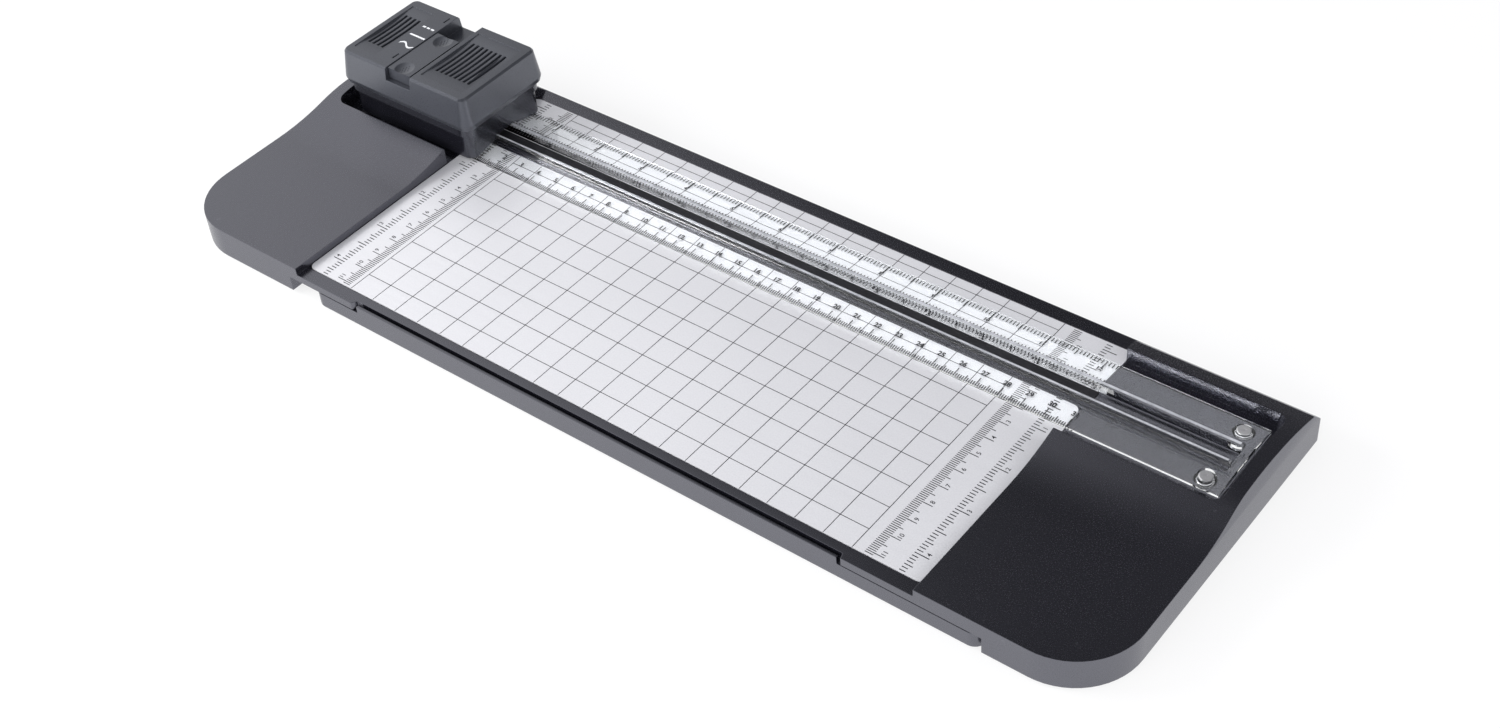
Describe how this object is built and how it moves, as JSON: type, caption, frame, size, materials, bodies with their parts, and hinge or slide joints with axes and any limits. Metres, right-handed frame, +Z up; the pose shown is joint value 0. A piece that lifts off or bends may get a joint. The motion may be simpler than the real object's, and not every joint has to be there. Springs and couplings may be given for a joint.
{
  "type": "paper_trimmer",
  "caption": "Desk rotary paper trimmer: low base with printed bed, clear sprung guide, sliding cutting head with selectable blade wheels, and a pull-out front extension bar",
  "frame": {"origin": "on the desk under the middle of the base", "axes": "X along the cut to the right, Y from the user's front edge to the rear, Z up"},
  "size_m": [0.4596, 0.1574, 0.0472],
  "materials": {
    "casing_plastic": "fine-grained dark ABS",
    "head_plastic": "fine-grained charcoal ABS",
    "inner_plastic": "plain black ABS",
    "strip_plastic": "black cutting strip",
    "glide_plastic": "natural acetal",
    "clear_plastic": "clear moulded acrylic",
    "bed_aluminium": "light silver sheet with dark printed grid",
    "foot_rubber": "soft black rubber",
    "steel": "plain zinc-plated steel",
    "bright_steel": "bright ground steel"
  },
  "bodies": {
    "base": {"base_casing": "casing_plastic", "bottom_cover": "inner_plastic", "bottom_screws": "steel", "rubber_feet": "foot_rubber", "bed_plate_front": "bed_aluminium", "bed_plate_rear": "bed_aluminium", "cutting_strip": "strip_plastic", "guide_screws": "bright_steel", "guide_springs": "steel"},
    "guide": {"clear_guide": "clear_plastic"},
    "head": {"head_carriage": "head_plastic", "head_cover": "head_plastic", "head_cover_screws": "steel", "rail_glides": "glide_plastic", "arm_shafts": "steel", "arm_springs": "steel"},
    "selector": {"selector_slider": "head_plastic", "selector_bar": "inner_plastic", "selector_screw": "steel"},
    "wave_arm": {"blade_arm_wave": "steel", "blade_axle_wave": "steel"},
    "straight_arm": {"blade_arm_straight": "steel", "blade_axle_straight": "steel"},
    "perforating_arm": {"blade_arm_perforating": "steel", "blade_axle_perforating": "steel"},
    "wave_wheel": {"blade_wave": "bright_steel"},
    "straight_wheel": {"blade_straight": "bright_steel"},
    "perforating_wheel": {"blade_perforating": "bright_steel"},
    "extension": {"extension_bar": "casing_plastic", "extension_arm_left": "inner_plastic", "extension_arm_right": "inner_plastic", "extension_screws": "steel"}
  },
  "joints": [
    {"name": "guide_press", "type": "slide", "parent": "base", "child": "guide", "axis": [0, 0, 1], "range_m": [-0.0004, 0], "stiffness_N_per_m": 2000, "springref_m": 0.004, "deforming": ["guide_springs"]},
    {"name": "head_slide", "type": "slide", "parent": "guide", "child": "head", "axis": [1, 0, 0], "range_m": [0, 0.3602]},
    {"name": "selector_slide", "type": "slide", "parent": "head", "child": "selector", "axis": [0, 1, 0], "range_m": [0, 0.013]},
    {"name": "wave_arm_press", "type": "hinge", "parent": "head", "child": "wave_arm", "pos_m": [-0.1911, 0.04015, 0.0233], "axis": [0, -1, 0], "range_deg": [0, 13], "stiffness_Nm_per_rad": 0.05, "springref_deg": -17.19},
    {"name": "straight_arm_press", "type": "hinge", "parent": "head", "child": "straight_arm", "pos_m": [-0.1691, 0.04015, 0.0233], "axis": [0, -1, 0], "range_deg": [0, 13], "stiffness_Nm_per_rad": 0.05, "springref_deg": -17.19},
    {"name": "perforating_arm_press", "type": "hinge", "parent": "head", "child": "perforating_arm", "pos_m": [-0.1691, 0.04015, 0.0233], "axis": [0, 1, 0], "range_deg": [0, 13], "stiffness_Nm_per_rad": 0.05, "springref_deg": -17.19},
    {"name": "wave_spin", "type": "hinge", "parent": "wave_arm", "child": "wave_wheel", "pos_m": [-0.2021, 0.04015, 0.0233], "axis": [0, 1, 0], "continuous": true},
    {"name": "straight_spin", "type": "hinge", "parent": "straight_arm", "child": "straight_wheel", "pos_m": [-0.1801, 0.04015, 0.0233], "axis": [0, 1, 0], "continuous": true},
    {"name": "perforating_spin", "type": "hinge", "parent": "perforating_arm", "child": "perforating_wheel", "pos_m": [-0.1581, 0.04015, 0.0233], "axis": [0, 1, 0], "continuous": true},
    {"name": "extension_pull", "type": "slide", "parent": "base", "child": "extension", "axis": [0, -1, 0], "range_m": [0, 0.085]}
  ]
}
